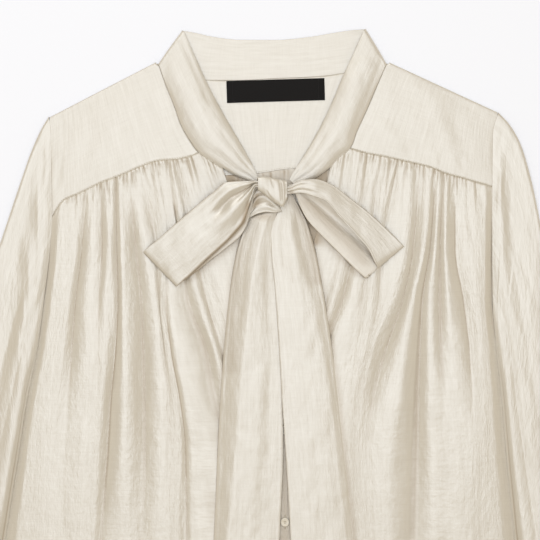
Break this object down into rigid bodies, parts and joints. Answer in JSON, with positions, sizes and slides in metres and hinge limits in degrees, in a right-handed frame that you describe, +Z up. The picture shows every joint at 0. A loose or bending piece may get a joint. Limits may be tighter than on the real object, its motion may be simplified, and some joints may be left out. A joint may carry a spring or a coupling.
{
  "type": "blouse",
  "caption": "Long-sleeved satin blouse laid flat, with gathered fronts under a shoulder yoke, a band collar tied in a bow and a buttoned opening",
  "frame": {"origin": "Middle of the garment's underside, on the surface it lies on", "axes": "+X to the right of the garment as seen from above, +Y from hem to collar, +Z up from the surface"},
  "size_m": [0.7492, 0.7054, 0.0205],
  "materials": {
    "satin": "satin",
    "label_tape": "matte",
    "button_resin": "gloss"
  },
  "bodies": {
    "root": {"back": "satin", "yoke": "satin", "front_left": "satin", "front_right": "satin", "sleeve_left": "satin", "sleeve_right": "satin", "cuff_left": "satin", "cuff_right": "satin", "collar": "satin", "tie_knot": "satin", "tie_loop_left": "satin", "tie_loop_right": "satin", "tie_tail_left": "satin", "tie_tail_right": "satin", "tie_tongue": "satin", "label": "label_tape", "button_1": "button_resin", "button_2": "button_resin", "button_3": "button_resin", "button_4": "button_resin"}
  },
  "joints": []
}
